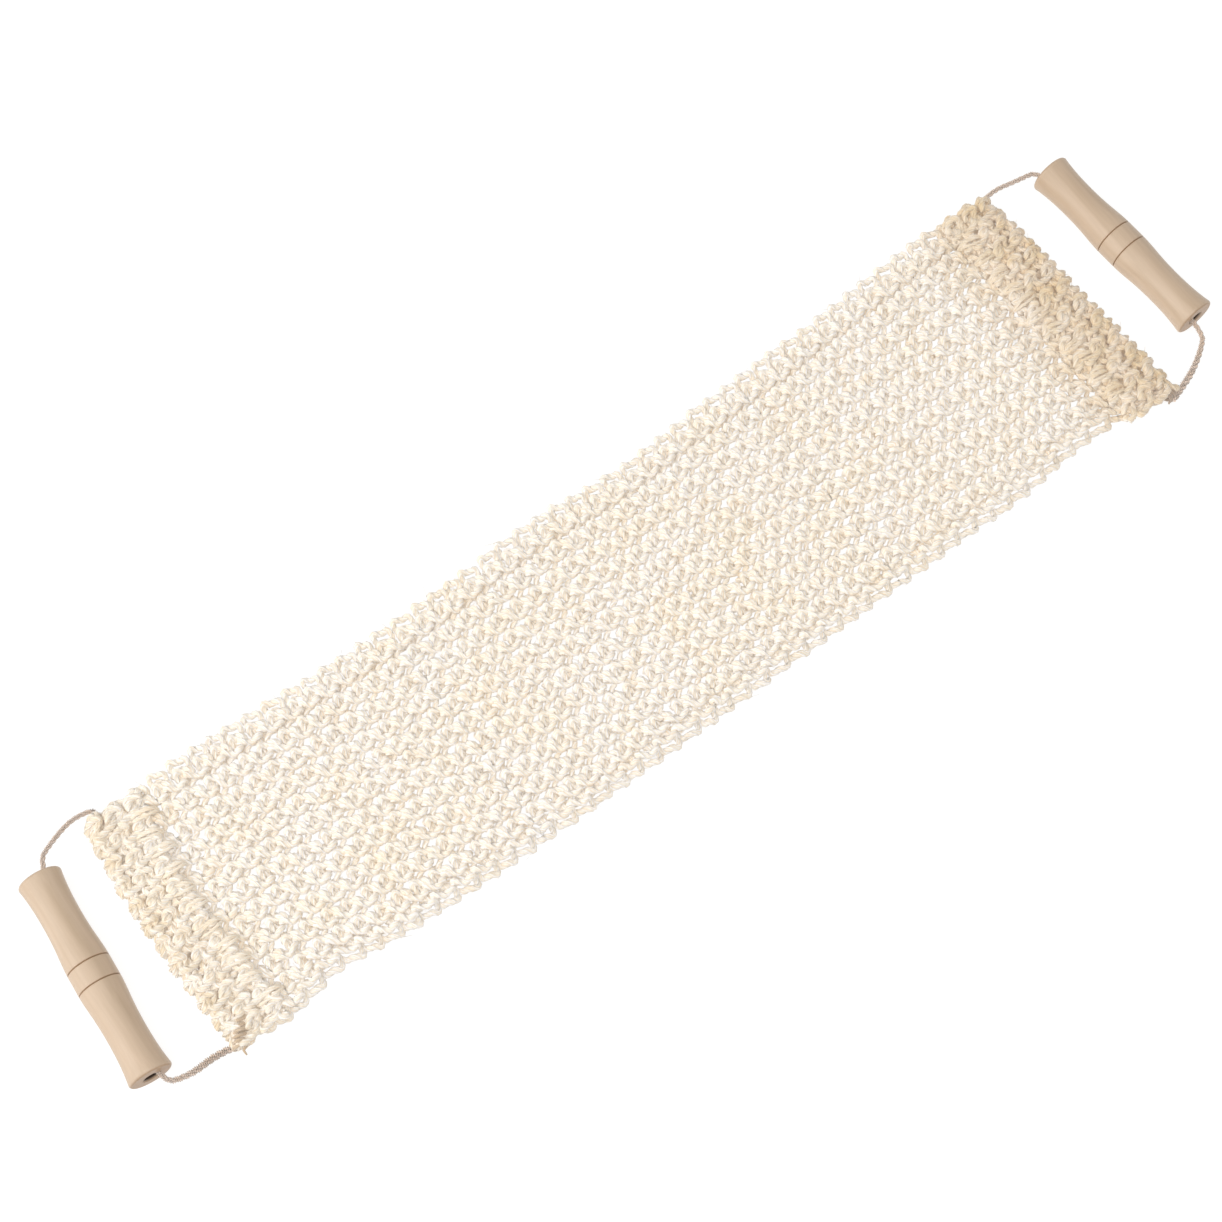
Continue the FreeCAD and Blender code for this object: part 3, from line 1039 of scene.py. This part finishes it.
def handle_space(tree, side, place):
    """Distance from the handle's middle along it, and from its axis outwards, as shares of
    its half length and of its end's radius."""
    low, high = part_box(f"handle_{SIDE_NAMES[side]}")
    offset = vector_maths(tree, "SUBTRACT", place, (low + high) / 2)
    axis = (-side * math.sin(HANDLE_LEAN), math.cos(HANDLE_LEAN), 0)
    along = maths(tree, "ABSOLUTE", vector_maths(tree, "DOT_PRODUCT", offset, axis))
    total = vector_maths(tree, "LENGTH", offset)
    squares = [maths(tree, "MULTIPLY", value, value) for value in (total, along)]
    outwards = maths(tree, "SQRT", maths(tree, "MAXIMUM", maths(tree, "SUBTRACT", *squares), 0.0))
    return (
        maths(tree, "DIVIDE", along, HANDLE_HALF_LENGTH),
        maths(tree, "DIVIDE", outwards, HANDLE_END_RADIUS),
    )


def wood_material(side):
    """Pale, close-grained turned wood with a satin finish, its grain along the handle, with
    dark scored grooves, end faces darkened partly as end grain and partly as painted shade,
    and a bore painted dark as its shadow."""
    material, tree, shader = new_material(f"pale_turned_wood_{SIDE_NAMES[side]}")
    place = object_place(tree)
    grain_space = stretched(tree, place, GRAIN_SCALE, -side * HANDLE_LEAN)
    grain = noise(tree, grain_space, 1.0, 5.0, 0.6)
    broad = noise(tree, stretched(tree, place, TONE_SCALE), 1.0, 2.0)
    along, outwards = handle_space(tree, side, place)
    colour = ramp(tree, grain, [(0.3, WOOD_DARK), (0.65, WOOD_LIGHT)])
    colour = tinted(tree, colour, broad, [(0.35, WOOD_TONE), (0.65, WHITE)])
    colour = tinted(tree, colour, along, MARKS_ALONG)
    colour = tinted(tree, colour, outwards, MARKS_OUTWARDS)
    tree.links.new(colour, shader.inputs["Base Color"])
    rough = ramp(tree, grain, [(0.3, grey(0.38)), (0.7, grey(0.50))])
    tree.links.new(rough, shader.inputs["Roughness"])
    shader.inputs["Coat Weight"].default_value = 0.12
    shader.inputs["Coat Roughness"].default_value = 0.35
    bump(tree, shader, grain, 0.25, WOOD_BUMP)
    return material


def finish_handles():
    for side in SIDES:
        wood = wood_material(side)
        handle = bpy.data.objects[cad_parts[f"handle_{SIDE_NAMES[side]}"].name]
        for slot in handle.material_slots:
            slot.material = wood


# ---------------------------------------------------------------- the scene

add_camera()
add_floor()
add_lights()

random = np.random.default_rng(SEED)
cream = cream_knit()
sewing = cream_sewing()
cord = taupe_cord()
bindings = {-1: tan_binding(), 1: brown_binding()}

for side in SIDES:
    add_cord(side, cord)
    add_binding(side, bindings[side])
courses, stitches = knit_lines(random)
add_knit(random, courses, stitches, cream)
add_stray_fibres(random, courses, stitches, cream)
for side in SIDES:
    add_sewing(side, random, sewing)
finish_handles()
